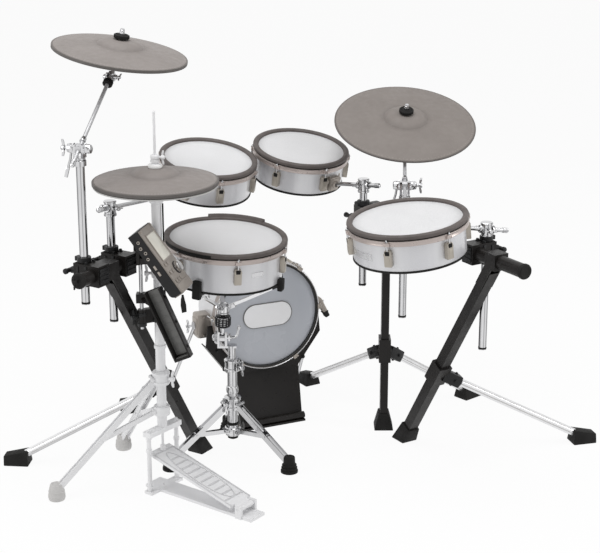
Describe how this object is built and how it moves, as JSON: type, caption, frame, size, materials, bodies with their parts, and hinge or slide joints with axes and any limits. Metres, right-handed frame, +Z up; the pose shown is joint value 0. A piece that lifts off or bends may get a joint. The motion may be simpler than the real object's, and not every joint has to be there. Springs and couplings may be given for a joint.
{
  "type": "electronic drum kit",
  "caption": "Electronic drum kit on a black open rack: silver shell pads with mesh heads, taupe rubber cymbals, hi-hat stand with pedal, kick pad and sound module.",
  "frame": {"origin": "centre of the bounding box at the floor", "axes": "+X to the right seen from the player, along the longest extent; +Y away from the player; +Z up"},
  "size_m": [1.6777, 1.037, 1.2167],
  "materials": {
    "black_satin": "satin black powder coat",
    "bright_aluminium": "bright drawn aluminium with grooves",
    "black_rubber": "matte black rubber",
    "chrome": "polished chrome",
    "pale_steel": "pale grey enamel",
    "taupe_rubber": "matte taupe-grey rubber with a fine texture",
    "silver_shell": "pale silver wrap",
    "kick_wrap": "pale silver wrap",
    "taupe_nickel": "warm nickel",
    "taupe_rim": "taupe-brown rubber",
    "mesh_head": "white woven mesh",
    "blue_film": "grey-blue film",
    "white_patch": "white oval patch",
    "black_plastic": "moulded black plastic",
    "taupe_panel": "taupe enamel",
    "dial_metal": "turned metal knob"
  },
  "bodies": {
    "frame": {"rack_bars": "black_satin", "rack_legs": "black_satin", "rack_brackets": "black_satin", "rack_outriggers": "bright_aluminium", "rubber_feet": "black_rubber", "rack_clamps": "black_satin", "snare_stand": "chrome", "hihat_stand": "pale_steel", "hihat_frame": "pale_steel", "hihat_bottom_cymbal": "taupe_rubber", "kick_shell": "kick_wrap", "kick_hoop": "black_satin", "kick_head": "blue_film", "kick_patch": "white_patch", "kick_lugs": "taupe_nickel", "kick_stand": "black_satin", "module_bracket": "black_satin", "module_rod": "chrome", "hihat_lead": "black_plastic"},
    "crash_stand": {"crash_post": "chrome"},
    "crash_boom_arm": {"crash_boom": "chrome", "crash_cap": "black_rubber"},
    "crash_pad": {"crash_cymbal": "taupe_rubber"},
    "ride_stand": {"ride_post": "chrome"},
    "ride_boom_arm": {"ride_boom": "chrome", "ride_cap": "black_rubber"},
    "ride_pad": {"ride_cymbal": "taupe_rubber"},
    "tom1_stand": {"tom1_post": "chrome"},
    "tom1": {"tom1_arm": "chrome", "tom1_shell": "silver_shell", "tom1_hardware": "taupe_nickel", "tom1_rim": "taupe_rim", "tom1_head": "mesh_head"},
    "tom2_stand": {"tom2_post": "chrome"},
    "tom2": {"tom2_arm": "chrome", "tom2_shell": "silver_shell", "tom2_hardware": "taupe_nickel", "tom2_rim": "taupe_rim", "tom2_head": "mesh_head"},
    "floor_tom_stand": {"floor_tom_post": "chrome"},
    "floor_tom": {"floor_tom_arm": "chrome", "floor_tom_shell": "silver_shell", "floor_tom_hardware": "taupe_nickel", "floor_tom_rim": "taupe_rim", "floor_tom_head": "mesh_head"},
    "snare_column": {"snare_column": "chrome"},
    "snare": {"snare_basket": "black_satin", "snare_shell": "silver_shell", "snare_hardware": "taupe_nickel", "snare_rim": "taupe_rim", "snare_head": "mesh_head"},
    "hihat_upper": {"hihat_rod": "chrome", "hihat_top_cymbal": "taupe_rubber"},
    "hihat_footboard": {"hihat_pedal": "pale_steel"},
    "module": {"module_body": "black_plastic", "module_panel": "taupe_panel"},
    "module_dial": {"module_dial": "dial_metal"},
    "kick_spur_left": {"kick_spur_left": "chrome"},
    "kick_spur_right": {"kick_spur_right": "chrome"}
  },
  "joints": [
    {"name": "crash_height", "type": "slide", "parent": "frame", "child": "crash_stand", "axis": [0, 0, 1], "range_m": [-0.04, 0.04]},
    {"name": "crash_boom_tilt", "type": "hinge", "parent": "crash_stand", "child": "crash_boom_arm", "pos_m": [-0.55861, -0.40065, 0.962], "axis": [-0.9676, 0.2523, 0], "range_deg": [-14, 14]},
    {"name": "crash_rock", "type": "hinge", "parent": "crash_boom_arm", "child": "crash_pad", "pos_m": [-0.47811, -0.11983, 1.18256], "axis": [0.9875, 0.0094, -0.1574], "range_deg": [-8, 8], "stiffness_Nm_per_rad": 2.5},
    {"name": "ride_height", "type": "slide", "parent": "frame", "child": "ride_stand", "axis": [0, 0, 1], "range_m": [-0.04, 0.04]},
    {"name": "ride_boom_tilt", "type": "hinge", "parent": "ride_stand", "child": "ride_boom_arm", "pos_m": [0.27408, -0.01465, 0.77], "axis": [-0.9986, 0.0538, 0], "range_deg": [-14, 14]},
    {"name": "ride_rock", "type": "hinge", "parent": "ride_boom_arm", "child": "ride_pad", "pos_m": [0.29046, 0.23851, 0.91414], "axis": [0.9989, 0.0159, -0.0442], "range_deg": [-8, 3], "stiffness_Nm_per_rad": 2.5},
    {"name": "tom1_height", "type": "slide", "parent": "frame", "child": "tom1_stand", "axis": [0, 0, 1], "range_m": [-0.06, 0.02]},
    {"name": "tom1_tilt", "type": "hinge", "parent": "tom1_stand", "child": "tom1", "pos_m": [-0.49979, -0.30651, 0.785], "axis": [0.3665, 0.9192, -0.1443], "range_deg": [-10, 3]},
    {"name": "tom2_height", "type": "slide", "parent": "frame", "child": "tom2_stand", "axis": [0, 0, 1], "range_m": [-0.01, 0.05]},
    {"name": "tom2_tilt", "type": "hinge", "parent": "tom2_stand", "child": "tom2", "pos_m": [0.16809, 0.15496, 0.728], "axis": [-0.6878, 0.7117, -0.1427], "range_deg": [-3, 10]},
    {"name": "floor_tom_height", "type": "slide", "parent": "frame", "child": "floor_tom_stand", "axis": [0, 0, 1], "range_m": [0, 0.05]},
    {"name": "floor_tom_tilt", "type": "hinge", "parent": "floor_tom_stand", "child": "floor_tom", "pos_m": [0.47928, -0.20716, 0.7], "axis": [-0.9342, -0.3226, 0.1523], "range_deg": [-10, 10]},
    {"name": "snare_height", "type": "slide", "parent": "frame", "child": "snare_column", "axis": [0, 0, 1], "range_m": [-0.03, 0.05]},
    {"name": "snare_tilt", "type": "hinge", "parent": "snare_column", "child": "snare", "pos_m": [-0.22796, -0.09804, 0.35775], "axis": [1, 0, 0], "range_deg": [-10, 10]},
    {"name": "hihat_lift", "type": "slide", "parent": "frame", "child": "hihat_upper", "axis": [0, 0, 1], "range_m": [-0.0065, 0], "stiffness_N_per_m": 900, "springref_m": 0.025},
    {"name": "hihat_pedal_press", "type": "hinge", "parent": "frame", "child": "hihat_footboard", "pos_m": [-0.15439, -0.47152, 0.026], "axis": [0.6018, 0.7986, 0], "range_deg": [-1.33, 0]},
    {"name": "module_tilt", "type": "hinge", "parent": "frame", "child": "module", "pos_m": [-0.3982, -0.38126, 0.67026], "axis": [0.225, 0.9744, 0], "range_deg": [-7, 8]},
    {"name": "module_dial_turn", "type": "hinge", "parent": "module", "child": "module_dial", "pos_m": [-0.3268, -0.37927, 0.64878], "axis": [0.7883, -0.182, 0.5878], "continuous": true},
    {"name": "kick_spur_left_fold", "type": "hinge", "parent": "frame", "child": "kick_spur_left", "pos_m": [-0.32094, 0.16361, 0.302], "axis": [-0.9063, -0.4226, 0], "range_deg": [-60, 0]},
    {"name": "kick_spur_right_fold", "type": "hinge", "parent": "frame", "child": "kick_spur_right", "pos_m": [0.03487, 0.32953, 0.302], "axis": [0.9063, 0.4226, 0], "range_deg": [0, 60]}
  ],
  "couplings": [
    {"joint": "hihat_pedal_press", "follows": "hihat_lift", "rad_per_m": 3.5088}
  ]
}
